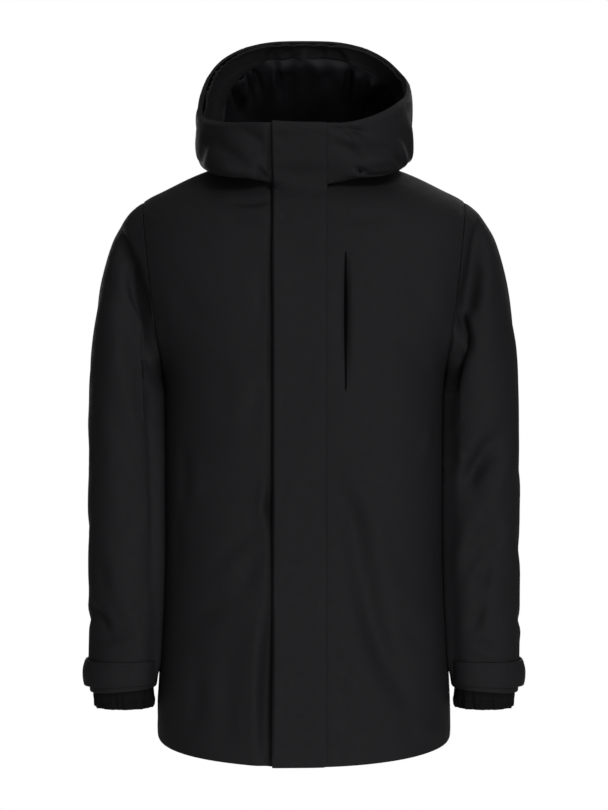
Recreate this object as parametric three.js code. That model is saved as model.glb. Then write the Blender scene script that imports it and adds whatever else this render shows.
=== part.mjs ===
import * as THREE from "three";

// A hooded parka, hollow, in the form it takes when it is worn. Sizes are in mm.
// Heights are measured up from the front hem. +X is the coat's own left, -Y the front, +Z up.
const originHeight = 830; // high shoulder point, where the coat is carried
const seamGap = 0.3; // between pieces that are sewn edge to edge
const layGap = 0.7; // under a piece that lies on a panel
const shellWall = 4; // light padded shell
const flapWall = 3;
const zipWall = 2.5;
const weltWall = 1.8;
const tabWall = 2.2;
const cuffWall = 2;
const facingWall = 3;
const liningWall = 2.5;

// Body rows from hem to neckline: height at the side, front and back, half width, depth each way, how
// square the row is, and how quickly it falls from its side height to its front and back heights.
const bodyRows = [
  { side: 28, front: 0, back: 2, halfWidth: 204, frontDepth: 132, backDepth: 130, square: 2.7, fall: 1.4 },
  { side: 70, front: 58, back: 60, halfWidth: 203.5, frontDepth: 132, backDepth: 130, square: 2.7, fall: 1.9 },
  { side: 150, front: 148, back: 150, halfWidth: 199.5, frontDepth: 131, backDepth: 129, square: 2.7, fall: 1.9 },
  { side: 265, front: 264, back: 265, halfWidth: 194.5, frontDepth: 129, backDepth: 127, square: 2.7, fall: 1.8 },
  { side: 360, front: 359, back: 360, halfWidth: 193.5, frontDepth: 127, backDepth: 126, square: 2.75, fall: 1.6 },
  { side: 450, front: 447, back: 450, halfWidth: 193.5, frontDepth: 126, backDepth: 126, square: 2.75, fall: 1.4 },
  { side: 520, front: 513, back: 518, halfWidth: 195, frontDepth: 125.5, backDepth: 126, square: 2.8, fall: 1.2 },
  { side: 560, front: 548, back: 558, halfWidth: 209, frontDepth: 125, backDepth: 127, square: 2.75, fall: 1.2 },
  { side: 600, front: 585, back: 598, halfWidth: 225, frontDepth: 125, backDepth: 128, square: 2.65, fall: 1.2 },
  { side: 640, front: 620, back: 636, halfWidth: 239, frontDepth: 124.5, backDepth: 128, square: 2.55, fall: 1.2 },
  { side: 680, front: 650, back: 672, halfWidth: 248, frontDepth: 123.5, backDepth: 127, square: 2.45, fall: 1.2 },
  { side: 720, front: 677, back: 705, halfWidth: 248, frontDepth: 121.5, backDepth: 125, square: 2.4, fall: 1.2 },
  { side: 750, front: 699, back: 731, halfWidth: 239, frontDepth: 119, backDepth: 122, square: 2.4, fall: 1.2 },
  { side: 767, front: 717, back: 748, halfWidth: 224, frontDepth: 116.5, backDepth: 118, square: 2.4, fall: 1.2 },
  { side: 785, front: 735, back: 770, halfWidth: 190, frontDepth: 113, backDepth: 111, square: 2.4, fall: 1.2 },
  { side: 800, front: 748, back: 785, halfWidth: 160, frontDepth: 110, backDepth: 102, square: 2.4, fall: 1.2 },
  { side: 812, front: 757, back: 797, halfWidth: 130, frontDepth: 107, backDepth: 91, square: 2.35, fall: 1.2 },
  { side: 822, front: 765, back: 806, halfWidth: 102, frontDepth: 103, backDepth: 78, square: 2.3, fall: 1.2 },
  { side: 830, front: 773, back: 813, halfWidth: 80, frontDepth: 98, backDepth: 62, square: 2.2, fall: 1.2 },
];
const shoulderLevels = [11.5, 12.5, 12.8, 13.3, 13.6]; // more rows, where the armhole turns over the shoulder
const underarmRow = 6;
const shoulderRow = 13;
const necklineRow = bodyRows.length - 1;

// Sleeve rows from just outside the armhole to the cuff: the points farthest from and nearest to the
// body, half the depth, how far the sleeve has swung forward, and how flat it lies against the body.
const sleeveRows = [
  { outerX: 224, outerH: 767, innerX: 195, innerH: 520, halfDepth: 75, forward: 0, square: 2.2, flat: 2.2 },
  { outerX: 244, outerH: 749, innerX: 199.5, innerH: 511, halfDepth: 79, forward: 0, square: 2.2, flat: 2.3 },
  { outerX: 258, outerH: 727, innerX: 199, innerH: 500, halfDepth: 79, forward: 1, square: 2.2, flat: 2.4 },
  { outerX: 270, outerH: 700, innerX: 198, innerH: 490, halfDepth: 77, forward: 2, square: 2.2, flat: 2.6 },
  { outerX: 282, outerH: 658, innerX: 197.4, innerH: 478, halfDepth: 74, forward: 3, square: 2.2, flat: 2.8 },
  { outerX: 291, outerH: 607, innerX: 197, innerH: 460, halfDepth: 71, forward: 4, square: 2.2, flat: 3 },
  { outerX: 297, outerH: 550, innerX: 196.2, innerH: 440, halfDepth: 68, forward: 5, square: 2.25, flat: 3.1 },
  { outerX: 299, outerH: 495, innerX: 195.6, innerH: 418, halfDepth: 65, forward: 6, square: 2.3, flat: 3.2 },
  { outerX: 300, outerH: 442, innerX: 195.2, innerH: 392, halfDepth: 62, forward: 7, square: 2.3, flat: 3.3 },
  { outerX: 300.5, outerH: 390, innerX: 195.2, innerH: 361, halfDepth: 59, forward: 9, square: 2.3, flat: 3.4 },
  { outerX: 300.5, outerH: 338, innerX: 195.4, innerH: 321, halfDepth: 56, forward: 12, square: 2.3, flat: 3.4 },
  { outerX: 300, outerH: 286, innerX: 195.9, innerH: 277, halfDepth: 54, forward: 15, square: 2.3, flat: 3.4 },
  { outerX: 299.5, outerH: 236, innerX: 197.2, innerH: 232, halfDepth: 52, forward: 18, square: 2.3, flat: 3.3 },
  { outerX: 299, outerH: 186, innerX: 199.6, innerH: 185, halfDepth: 50, forward: 21, square: 2.3, flat: 3.2 },
  { outerX: 298.5, outerH: 142, innerX: 201.6, innerH: 142, halfDepth: 48.5, forward: 23, square: 2.3, flat: 3 },
  { outerX: 298, outerH: 110, innerX: 203.4, innerH: 112, halfDepth: 47.5, forward: 24, square: 2.3, flat: 2.8 },
  { outerX: 296.5, outerH: 87, innerX: 204.2, innerH: 94, halfDepth: 47, forward: 24.5, square: 2.3, flat: 2.7 },
];

// Hood rows from the neck seam, out over the shoulders and up to the rim. sideY is where the row is widest.
const hoodRows = [
  { frontY: -98, frontH: 773.5, sideX: 80.3, sideY: 0, sideH: 830.5, backY: 62.2, backH: 813.6, droop: 0 },
  { frontY: -101, frontH: 784, sideX: 112, sideY: 5, sideH: 829, backY: 105, backH: 806, droop: 4 },
  { frontY: -106, frontH: 797, sideX: 141, sideY: 14, sideH: 822, backY: 150, backH: 800, droop: 13 },
  { frontY: -112, frontH: 808, sideX: 150, sideY: 20, sideH: 831, backY: 180, backH: 812, droop: 15 },
  { frontY: -119, frontH: 822, sideX: 152, sideY: 22, sideH: 850, backY: 198, backH: 845, droop: 10 },
  { frontY: -126, frontH: 837, sideX: 152.5, sideY: 24, sideH: 872, backY: 197, backH: 885, droop: 4 },
  { frontY: -131, frontH: 848, sideX: 152, sideY: 26, sideH: 890, backY: 178, backH: 930, droop: 0 },
  { frontY: -133, frontH: 853, sideX: 151, sideY: 26, sideH: 901, backY: 140, backH: 972, droop: 0 },
  { frontY: -133, frontH: 856.5, sideX: 148.5, sideY: 24, sideH: 908, backY: 92, backH: 1000, droop: 0 },
  { frontY: -131, frontH: 858, sideX: 144, sideY: 22, sideH: 911, backY: 70, backH: 1006, droop: 0 },
];
const rimRow = hoodRows.length - 1;
const hoodSquare = 2.9;
// The rim rides up on the coat's left. It begins at x from and is whole at x to, and so on with height and y.
const rimRide = {
  up: 28,
  x: { from: 45, to: 150 },
  height: { from: 832, to: 876, fades: 925, ends: 1005 },
  y: { fades: 20, ends: 85 },
};
const facingWidth = 30;
const facingGap = 0.96; // between the shell and its facing
const liningLow = 0.7; // the row of the hood where the lining starts above the neck
// Lining rows: the share of the way up to the facing, and how far the lining stands off the shell.
const liningRows = [
  { up: 0, gap: 3.5 },
  { up: 0.08, gap: 3.6 },
  { up: 0.17, gap: 3 },
  { up: 0.32, gap: 1.5 },
  { up: 0.6, gap: 1 },
  { up: 0.85, gap: 0.9 },
  { up: 1, gap: 0.9 },
];
const zipColumn = 0.15; // steps of the mesh from the front edge that the facing leaves to the zip

// The largest folds, as troughs between two points seen from the front: x towards the coat's left, and height.
const sleeveFolds = [
  { face: "front", x1: -246, h1: 715, x2: -212, h2: 630, width: 17, depth: 8 },
  { face: "front", x1: 240, h1: 715, x2: 212, h2: 618, width: 17, depth: 8 },
  { face: "front", x1: -246, h1: 612, x2: -222, h2: 545, width: 16, depth: 4 },
  { face: "front", x1: 274, h1: 436, x2: 224, h2: 384, width: 18, depth: 5 },
  { face: "front", x1: 289, h1: 318, x2: 250, h2: 262, width: 17, depth: 4 },
  { face: "front", x1: -292, h1: 204, x2: -262, h2: 176, width: 16, depth: 4 },
  { face: "back", x1: -242, h1: 700, x2: -214, h2: 590, width: 18, depth: 7 },
  { face: "back", x1: 244, h1: 706, x2: 213, h2: 600, width: 18, depth: 7 },
  { face: "back", x1: -284, h1: 430, x2: -232, h2: 398, width: 18, depth: 5 },
  { face: "back", x1: 286, h1: 402, x2: 228, h2: 372, width: 17, depth: 5 },
];
const bodyFolds = [
  { face: "front", x1: 48, h1: 352, x2: 92, h2: 190, width: 34, depth: 4 },
  { face: "front", x1: 92, h1: 190, x2: 146, h2: 82, width: 30, depth: 5 },
  { face: "front", x1: -140, h1: 384, x2: -62, h2: 356, width: 22, depth: 3 },
  { face: "back", x1: -130, h1: 470, x2: -70, h2: 300, width: 34, depth: 4 },
  { face: "back", x1: 120, h1: 430, x2: 84, h2: 240, width: 34, depth: 4 },
];
const foldFade = 25; // a fold dies away this near the outline

// Storm flap: on the left front, its free edge over the right front.
const flapColumns = [-42, -37, -24, -6, 14, 31]; // distance from the centre line
const flapLifts = [
  { height: 0, lift: 7 },
  { height: 120, lift: 4 },
  { height: 260, lift: 2 },
  { height: 345, lift: 5 },
  { height: 430, lift: 2 },
  { height: 600, lift: 2 },
  { height: 665, lift: 5 },
  { height: 740, lift: 2 },
  { height: 870, lift: 2.5 },
];
const flapStitch = 31; // from the centre line to the seam that holds the flap
const frontEdge = 4.5; // from the centre line to the edge of each front
const zipTop = 0.6; // rows of the hood below the rim where the zip ends
const zipBottom = 0.25; // rows of the body above the hem where it starts
const zipDepth = 1; // below the face of the fronts

// Chest pocket: an upright slit on the left front.
const pocket = { x: 56, low: 499, high: 689, welt: 8, slit: 3.2, zipWall: 1, zipInset: 2 };

// Cuff tab and the elastic cuff inside the sleeve.
const tabRows = [
  { height: 131, standOff: 2 },
  { height: 120, standOff: 6 },
  { height: 107, standOff: 7 },
  { height: 95.5, standOff: 6 },
];
const tabFreeTurn = -42; // the tab's free end, in degrees past the sleeve's outermost line
const tabSewnTurn = 150; // it crosses the front to the seam next to the body
const tabSlant = 12; // the free end's top corner is cut back by this many degrees
const tabSwing = 14; // the tab stands off most this far past the outermost line
const cuffRows = [
  { height: 124, free: 0, gather: 0 },
  { height: 84, free: 0, gather: 0 },
  { height: 76, free: 1, gather: 1.6 },
  { height: 65, free: 1, gather: 1.8 },
];
const cuffRing = { x: 248.5, y: -24, halfWidth: 42.5, halfDepth: 41, square: 2.2 };
const cuffGathers = 11;
const cuffSeam = 1.35; // from the sleeve's inner face, past the flats of its mesh
const liningGathers = 14;
const gatherDepth = 3.5;

// Steps of each mesh.
const frontSteps = 10;
const backSteps = 16;
const hoodPanelColumn = frontSteps + 5; // where a hood side meets the centre strip
const hoodSeamShare = 0.008; // of a step that each hood panel stops short of that seam
const sleeveSteps = 20;
const stepsPerGather = 3;
const tabSteps = 14;
const pocketSteps = 8;

const cloth = new THREE.MeshStandardMaterial({ color: 0x202022, roughness: 0.85 });
const liningCloth = new THREE.MeshStandardMaterial({ color: 0x161618, roughness: 0.55 });
const tape = new THREE.MeshStandardMaterial({ color: 0x141415, roughness: 0.7 });

const coat = new THREE.Group();
coat.position.z = -originHeight;

const radians = (degrees) => (degrees * Math.PI) / 180;
const range = (count) => Array.from({ length: count + 1 }, (_, i) => i);
const mix = (a, b, share) => a + (b - a) * share;

// A column of a table at a row number that may lie between two rows. It never overshoots the rows.
function column(rows, name, level) {
  const i = Math.min(Math.max(Math.floor(level), 0), rows.length - 2);
  const t = level - i;
  const value = (k) => rows[k][name];
  const rise = (k) => value(k + 1) - value(k);
  const slope = (k) => {
    if (k === 0) return rise(0);
    if (k === rows.length - 1) return rise(k - 1);
    const before = rise(k - 1);
    const after = rise(k);
    return before * after <= 0 ? 0 : (2 * before * after) / (before + after);
  };
  const [a, b] = [value(i), value(i + 1)];
  const [c, d] = [slope(i), slope(i + 1)];
  const [t2, t3] = [t * t, t * t * t];
  return a * (2 * t3 - 3 * t2 + 1) + c * (t3 - 2 * t2 + t) + b * (3 * t2 - 2 * t3) + d * (t3 - t2);
}

// A column at a height, by straight lines between the rows.
function atHeight(rows, name, height) {
  const rising = rows[0].height < rows[rows.length - 1].height ? rows : [...rows].reverse();
  const next = rising.findIndex((row) => row.height >= height);
  if (next < 0) return rising[rising.length - 1][name];
  if (next === 0) return rising[0][name];
  const [low, high] = [rising[next - 1], rising[next]];
  return mix(low[name], high[name], (height - low.height) / (high.height - low.height));
}

// The input at which a rising function reaches a value.
function solve(f, low, high, target) {
  let [a, b] = [low, high];
  for (let i = 0; i < 48; i++) {
    const middle = (a + b) / 2;
    if (f(middle) < target) a = middle;
    else b = middle;
  }
  return (a + b) / 2;
}

// Where a direction meets a rounded rectangle of half sizes 1 and 1.
function roundedSquare(turn, square) {
  const across = Math.sin(radians(turn));
  const ahead = Math.cos(radians(turn));
  const reach = (Math.abs(across) ** square + Math.abs(ahead) ** square) ** (-1 / square);
  return { across: across * reach, ahead: ahead * reach };
}

function foldDepth(folds, point, side) {
  let depth = 0;
  for (const fold of folds) {
    const depthAhead = fold.face === "front" ? -point.y : point.y;
    const fade = Math.min(Math.max(depthAhead / foldFade, 0), 1);
    const [dx, dh] = [fold.x2 - fold.x1, fold.h2 - fold.h1];
    const [px, ph] = [point.x * side - fold.x1, point.z - fold.h1];
    const along = Math.min(Math.max((px * dx + ph * dh) / (dx * dx + dh * dh), 0), 1);
    const away = Math.hypot(px - dx * along, ph - dh * along);
    depth += fade * fold.depth * Math.exp(-((away / fold.width) ** 2));
  }
  return depth;
}

const nudge = 0.02; // in turns and in rows, to find a surface's normal

// A surface's point moved out along its normal.
function movedOut(surface, turn, level, topLevel, out) {
  const point = surface(turn, level);
  const around = surface(turn + nudge, level).sub(surface(turn - nudge, level));
  const above = surface(turn, Math.min(level + nudge, topLevel));
  const up = above.sub(surface(turn, Math.max(level - nudge, 0)));
  return point.addScaledVector(around.cross(up).normalize(), out);
}

// Body: turn is 0 at the front centre, 90 at the side and 180 at the back.
function bodySurface(turn, level) {
  const { across, ahead } = roundedSquare(turn, column(bodyRows, "square", level));
  const front = ahead > 0;
  const depth = column(bodyRows, front ? "frontDepth" : "backDepth", level);
  const sideHeight = column(bodyRows, "side", level);
  const centreHeight = column(bodyRows, front ? "front" : "back", level);
  const share = Math.abs(Math.cos(radians(turn))) ** column(bodyRows, "fall", level);
  return new THREE.Vector3(
    column(bodyRows, "halfWidth", level) * across,
    -depth * ahead,
    mix(sideHeight, centreHeight, share),
  );
}

function bodyPoint(turn, level, out, side) {
  const depth = foldDepth(bodyFolds, bodySurface(turn, level), side);
  return movedOut(bodySurface, turn, level, necklineRow, out - depth);
}

// The armhole lies in one slanted plane, through the underarm and the shoulder point.
const underarm = new THREE.Vector3(bodyRows[underarmRow].halfWidth, 0, bodyRows[underarmRow].side);
const shoulder = new THREE.Vector3(bodyRows[shoulderRow].halfWidth, 0, bodyRows[shoulderRow].side);
const armholeUp = shoulder.clone().sub(underarm).normalize();
const armholeOut = new THREE.Vector3(armholeUp.z, 0, -armholeUp.x);
const pastArmhole = (point) => point.clone().sub(underarm).dot(armholeOut);

const panelSearch = 30; // no panel ends nearer than this to the centre line, in degrees

// The turn at which a panel ends: at the side seam, or at the armhole between underarm and shoulder.
function panelEnd(level, front, out, side) {
  const turnAt = (share) => mix(front ? panelSearch : 180 - panelSearch, 90, share);
  const at = (share) => bodyPoint(turnAt(share), level, out, side);
  const seam = solve((share) => (front ? at(share).y : -at(share).y), 0, 1, -seamGap / 2);
  const inArmhole = level > underarmRow && level < shoulderRow;
  if (!inArmhole || pastArmhole(at(seam)) <= 0) return turnAt(seam);
  return turnAt(solve((share) => pastArmhole(at(share)), 0, seam, 0));
}

const frontHalf = 85; // x grows with the turn up to here

// The turn at which a row of the body or hood is this far from the centre line.
function turnAtX(surface, level, x) {
  return solve((turn) => surface(turn, level).x, 0, frontHalf, Math.abs(x));
}

const bodyLevels = [...range(necklineRow * 2).map((i) => i / 2)
  .filter((level) => level <= underarmRow || Number.isInteger(level)), ...shoulderLevels]
  .sort((a, b) => a - b);

const mirrored = (point, side) => new THREE.Vector3(point.x * side, point.y, point.z);

// A wall between two grids of points. A closed one runs all the way round.
function wall(outer, inner, closed = false) {
  const rows = outer.length;
  const columns = outer[0].length;
  const positions = [...outer, ...inner].flat().flatMap((p) => [p.x, p.y, p.z]);
  const out = (r, c) => r * columns + (c % columns);
  const into = (r, c) => rows * columns + out(r, c);
  const index = [];
  const quad = (a, b, c, d) => index.push(a, b, c, a, c, d);
  const lastColumn = closed ? columns : columns - 1;
  const top = rows - 1;
  // A quad is split along its shorter diagonal, the same one on both faces of the wall.
  const rises = (r, c) => {
    const next = (c + 1) % columns;
    return outer[r][c].distanceTo(outer[r + 1][next]) < outer[r][next].distanceTo(outer[r + 1][c]);
  };
  for (let c = 0; c < lastColumn; c++) {
    for (let r = 0; r < top; r++) {
      const [low, high] = [[r, c], [r, c + 1]];
      const [lowUp, highUp] = [[r + 1, c], [r + 1, c + 1]];
      const corners = rises(r, c) ? [low, high, highUp, lowUp] : [high, highUp, lowUp, low];
      quad(...corners.map((at) => out(...at)));
      quad(...[corners[0], corners[3], corners[2], corners[1]].map((at) => into(...at)));
    }
    quad(out(0, c + 1), out(0, c), into(0, c), into(0, c + 1));
    quad(out(top, c), out(top, c + 1), into(top, c + 1), into(top, c));
  }
  for (let r = 0; !closed && r < top; r++) {
    quad(out(r, 0), out(r + 1, 0), into(r + 1, 0), into(r, 0));
    quad(out(r + 1, lastColumn), out(r, lastColumn), into(r, lastColumn), into(r + 1, lastColumn));
  }
  const geometry = new THREE.BufferGeometry();
  geometry.setAttribute("position", new THREE.Float32BufferAttribute(positions, 3));
  geometry.setIndex(facingOut(positions, index));
  geometry.computeVertexNormals();
  return geometry;
}

// A mirrored piece comes out with its faces turned in, so its triangles are turned round.
function facingOut(positions, index) {
  const at = (i) => new THREE.Vector3().fromArray(positions, i * 3);
  let volume = 0;
  for (let i = 0; i < index.length; i += 3) {
    volume += at(index[i]).dot(at(index[i + 1]).cross(at(index[i + 2])));
  }
  return volume > 0 ? index : [...index].reverse();
}

function addPiece(name, geometry, material) {
  const mesh = new THREE.Mesh(geometry, material);
  mesh.name = name;
  coat.add(mesh);
}

function addFront(name, side) {
  const grid = (out) => bodyLevels.map((level) => {
    const start = turnAtX(bodySurface, level, frontEdge);
    const end = panelEnd(level, true, out, side);
    return range(frontSteps).map((i) =>
      mirrored(bodyPoint(mix(start, end, i / frontSteps), level, out, side), side));
  });
  addPiece(name, wall(grid(0), grid(-shellWall)), cloth);
}

function addBack() {
  const grid = (out) => bodyLevels.map((level) => {
    const [left, right] = [1, -1].map((side) => panelEnd(level, false, out, side));
    return range(backSteps).map((i) => {
      const share = (2 * i) / backSteps;
      const side = share <= 1 ? 1 : -1;
      const turn = share <= 1 ? mix(left, 180, share) : mix(180, right, share - 1);
      return mirrored(bodyPoint(turn, level, out, side), side);
    });
  });
  addPiece("back", wall(grid(0), grid(-shellWall)), cloth);
}

const armholeSteps = 70;

// The armhole's outline in its own plane: points from the underarm up the front and down the back.
function armholeOutline(side) {
  const steps = range(armholeSteps).map((i) => mix(underarmRow, shoulderRow, i / armholeSteps));
  const edge = (level, front) => bodyPoint(panelEnd(level, front, 0, side), level, 0, side);
  return [...steps.map((level) => edge(level, true)), ...steps.reverse().map((level) => edge(level, false))];
}

// Sleeve: turn is 0 at the line farthest from the body, 90 in front and 180 next to the body.
function sleevePoint(turn, level, out, side) {
  const get = (name) => column(sleeveRows, name, level);
  const outer = new THREE.Vector3(get("outerX"), -get("forward"), get("outerH"));
  const inner = new THREE.Vector3(get("innerX"), -get("forward"), get("innerH"));
  const centre = outer.clone().add(inner).multiplyScalar(0.5);
  const reach = outer.clone().sub(inner).multiplyScalar(0.5);
  const { across, ahead } = roundedSquare(turn, Math.abs(turn - 180) < 90 ? get("flat") : get("square"));
  const at = (grow) => centre.clone()
    .addScaledVector(reach, ahead * (1 + grow / reach.length()))
    .add(new THREE.Vector3(0, -across * (get("halfDepth") + grow), 0));
  return at(out - foldDepth(sleeveFolds, at(0), side));
}

// The first ring lies on the armhole plane, a seam's width outside the body.
function armholeRing(side, out) {
  const outline = armholeOutline(side);
  const centre = underarm.clone().add(shoulder).multiplyScalar(0.5);
  const halfHeight = shoulder.distanceTo(underarm) / 2;
  const flat = outline.map((point) => {
    const from = point.clone().sub(centre);
    return { up: from.dot(armholeUp), ahead: -from.y };
  });
  return range(sleeveSteps - 1).map((i) => {
    const turn = radians((360 * i) / sleeveSteps);
    const ray = Math.atan2(sleeveRows[0].halfDepth * Math.sin(turn), halfHeight * Math.cos(turn));
    const reach = Math.max(...flat.map((p, k) => crossing(p, flat[(k + 1) % flat.length], ray))) + out;
    return centre.clone()
      .addScaledVector(armholeUp, reach * Math.cos(ray))
      .addScaledVector(armholeOut, seamGap)
      .add(new THREE.Vector3(0, -reach * Math.sin(ray), 0));
  });
}

// How far along a ray from the middle the line between two points is crossed, or 0.
function crossing(a, b, ray) {
  const [sin, cos] = [Math.sin(ray), Math.cos(ray)];
  const [sideA, sideB] = [a, b].map((p) => p.ahead * cos - p.up * sin);
  if (sideA * sideB > 0 || sideA === sideB) return 0;
  const share = sideA / (sideA - sideB);
  return mix(a.up, b.up, share) * cos + mix(a.ahead, b.ahead, share) * sin;
}

const sleeveLevels = range((sleeveRows.length - 1) * 2).map((i) => i / 2)
  .filter((level) => level >= 1 && (Number.isInteger(level) || (level > 3 && level < 10)));

function addSleeve(name, side) {
  const ring = (level, out) => range(sleeveSteps - 1)
    .map((i) => sleevePoint((360 * i) / sleeveSteps, level, out, side));
  const grid = (out) => [armholeRing(side, out), ...sleeveLevels.map((level) => ring(level, out))]
    .map((row) => row.map((point) => mirrored(point, side)));
  addPiece(name, wall(grid(0), grid(-shellWall), true), cloth);
}

const sleeveLevelAt = (height) =>
  solve((level) => -column(sleeveRows, "outerH", level), 1, sleeveRows.length - 1, -height);

function addCuffTab(name, side) {
  const grid = (out) => tabRows.map((row, r) => {
    const start = tabFreeTurn + (r === 0 ? tabSlant : 0);
    return range(tabSteps).map((i) => {
      const turn = mix(start, tabSewnTurn, i / tabSteps);
      const bulge = row.standOff * Math.max(Math.cos(radians(turn + tabSwing)), 0) ** 3;
      const point = sleevePoint(turn, sleeveLevelAt(row.height), layGap + bulge + out, side);
      return mirrored(point, side);
    });
  });
  addPiece(name, wall(grid(tabWall), grid(0)), cloth);
}

// The elastic cuff is sewn inside the sleeve and gathers where it comes out.
function addStormCuff(name, side) {
  const count = cuffGathers * stepsPerGather;
  const grid = (out) => cuffRows.map((row) => range(count - 1).map((i) => {
    const turn = (360 * i) / count;
    const sewn = sleevePoint(turn, sleeveLevelAt(row.height), -shellWall - cuffSeam + out, side);
    sewn.z = row.height;
    const gather = row.gather * Math.cos(2 * Math.PI * (i / stepsPerGather)) - row.gather;
    const { across, ahead } = roundedSquare(turn, cuffRing.square);
    const free = new THREE.Vector3(
      cuffRing.x + ahead * (cuffRing.halfWidth + gather + out),
      cuffRing.y - across * (cuffRing.halfDepth + gather + out),
      row.height,
    );
    return mirrored(sewn.lerp(free, row.free), side);
  }));
  addPiece(name, wall(grid(0), grid(-cuffWall), true), liningCloth);
}

// A smooth curve through a front, side and back value. at runs from -1 to 1.
function throughThree(front, side, back, at) {
  return side + ((back - front) / 2) * at + ((back + front) / 2 - side) * at * at;
}

// Hood: the same turn as the body.
function hoodRing(turn, level) {
  const get = (name) => column(hoodRows, name, level);
  const { across, ahead } = roundedSquare(turn, hoodSquare);
  const droop = ahead > 0 ? get("droop") * Math.sin(radians(2 * turn)) ** 2 : 0;
  return new THREE.Vector3(
    get("sideX") * across,
    throughThree(get("frontY"), get("sideY"), get("backY"), -ahead),
    throughThree(get("frontH"), get("sideH"), get("backH"), -ahead) - droop,
  );
}

// The hood starts on the body's neckline and takes its own shape over its first row.
function hoodSurface(turn, level) {
  const point = hoodRing(turn, level);
  const hold = Math.max(1 - level, 0) ** 2;
  if (hold === 0) return point;
  const neckline = bodySurface(turn, necklineRow).add(new THREE.Vector3(0, 0, seamGap));
  return point.addScaledVector(neckline.sub(hoodRing(turn, 0)), hold);
}

const hoodPoint = (turn, level, out) => movedOut(hoodSurface, turn, level, rimRow, out);
const hoodLevels = range(rimRow * 2).map((i) => i / 2);

// One side of the hood, on the same turns as the body, so that the two meet along the neckline.
const hoodColumns = frontSteps + backSteps / 2;
const hoodTurn = (level, i) => {
  if (i > frontSteps) return mix(90, 180, (i - frontSteps) / (backSteps / 2));
  return mix(turnAtX(hoodSurface, level, frontEdge), 90, i / frontSteps);
};
const hoodGrid = (out) => hoodLevels.map((level) =>
  range(hoodColumns).map((i) => hoodPoint(hoodTurn(level, i), level, out)));
const hoodOutside = hoodGrid(0);
const hoodInside = hoodGrid(-shellWall);

// The hood's pieces all ride up together, so the gaps between them stay.
function ridingUp(geometry) {
  const points = geometry.attributes.position;
  const { smoothstep } = THREE.MathUtils;
  const { up, x, height, y } = rimRide;
  for (let i = 0; i < points.count; i++) {
    const [px, py, pz] = [points.getX(i), points.getY(i), points.getZ(i)];
    const rising = smoothstep(px, x.from, x.to) * smoothstep(pz, height.from, height.to);
    const fading = (1 - smoothstep(pz, height.fades, height.ends)) * (1 - smoothstep(py, y.fades, y.ends));
    points.setZ(i, pz + up * rising * fading);
  }
  geometry.computeVertexNormals();
  return geometry;
}

function addHoodSide(name, side) {
  const seam = (row) => row[hoodPanelColumn].clone().lerp(row[hoodPanelColumn - 1], hoodSeamShare);
  const part = (grid) => grid.map((row) =>
    [...row.slice(0, hoodPanelColumn), seam(row)].map((point) => mirrored(point, side)));
  addPiece(name, ridingUp(wall(part(hoodOutside), part(hoodInside))), cloth);
}

function addHoodCentre() {
  const seam = (row) => row[hoodPanelColumn].clone().lerp(row[hoodPanelColumn + 1], hoodSeamShare);
  const part = (grid) => grid.map((row) => {
    const half = [seam(row), ...row.slice(hoodPanelColumn + 1)];
    const otherHalf = half.slice(0, -1).reverse().map((point) => mirrored(point, -1));
    return [...half, ...otherHalf];
  });
  addPiece("hood_centre", ridingUp(wall(part(hoodOutside), part(hoodInside))), cloth);
}

// A point inside the hood's own faces: at a column and level that may lie between two, and this deep.
const deepest = 10;
const hoodDeep = hoodGrid(-shellWall - deepest);
function insideHood(at, level, deep) {
  const c = Math.min(Math.floor(at), hoodColumns - 1);
  const r = Math.min(Math.floor(level * 2), hoodLevels.length - 2);
  const across = at - c;
  const up = (level - hoodLevels[r]) / (hoodLevels[r + 1] - hoodLevels[r]);
  const on = (grid) => {
    const low = grid[r][c].clone().lerp(grid[r][c + 1], across);
    const high = grid[r + 1][c].clone().lerp(grid[r + 1][c + 1], across);
    return low.lerp(high, up);
  };
  return on(hoodInside).lerp(on(hoodDeep), deep / deepest);
}

// The level that lies a given distance below the rim, measured along the cloth.
function levelBelowRim(at, distance) {
  const step = 0.05;
  let level = rimRow;
  let left = distance;
  while (left > 0) {
    const length = insideHood(at, level, 0).distanceTo(insideHood(at, level - step, 0));
    level -= step * Math.min(left / length, 1);
    left -= length;
  }
  return level;
}

// Columns right round the inside of the hood, from one edge of the zip to the other.
function aroundHood(steps, point) {
  return range(steps).map((i) => {
    const share = (2 * i) / steps;
    const side = share <= 1 ? 1 : -1;
    const at = mix(zipColumn, hoodColumns, share <= 1 ? share : 2 - share);
    return mirrored(point(at, i), side);
  });
}

const liningSteps = liningGathers * stepsPerGather;

function addHoodFacing() {
  const grid = (deep) => [1, 0.5, 0].map((share) => aroundHood(liningSteps, (at) =>
    insideHood(at, levelBelowRim(at, facingWidth * share), facingGap + deep)));
  addPiece("hood_facing", ridingUp(wall(grid(0), grid(facingWall))), cloth);
}

// The lining is gathered where it is sewn to the facing, and plain at the neck.
function addHoodLining() {
  const grid = (deep) => liningRows.map((row) => aroundHood(liningSteps, (at, i) => {
    const top = levelBelowRim(at, facingWidth + seamGap);
    const wave = (1 - Math.cos((2 * Math.PI * i) / stepsPerGather)) / 2;
    return insideHood(at, mix(liningLow, top, row.up), row.gap + gatherDepth * row.up * wave + deep);
  }));
  addPiece("hood_lining", ridingUp(wall(grid(0), grid(liningWall))), liningCloth);
}

// The rows of the coat's front, from the hem over the neck seam to the top of the collar.
const frontRows = [
  ...bodyLevels.filter((level) => level < necklineRow).map((level) => ({ surface: bodySurface, level })),
  ...hoodLevels.filter((level) => level > 0).map((level) => ({ surface: hoodSurface, level })),
];

// A point of the front at a distance from the centre line, moved out. x may be on either side.
function frontPoint({ surface, level }, x, out) {
  const turn = turnAtX(surface, level, x);
  const side = Math.sign(x) || 1;
  const point = surface === bodySurface ? bodyPoint(turn, level, out, side) : hoodPoint(turn, level, out);
  return mirrored(point, side);
}

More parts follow.
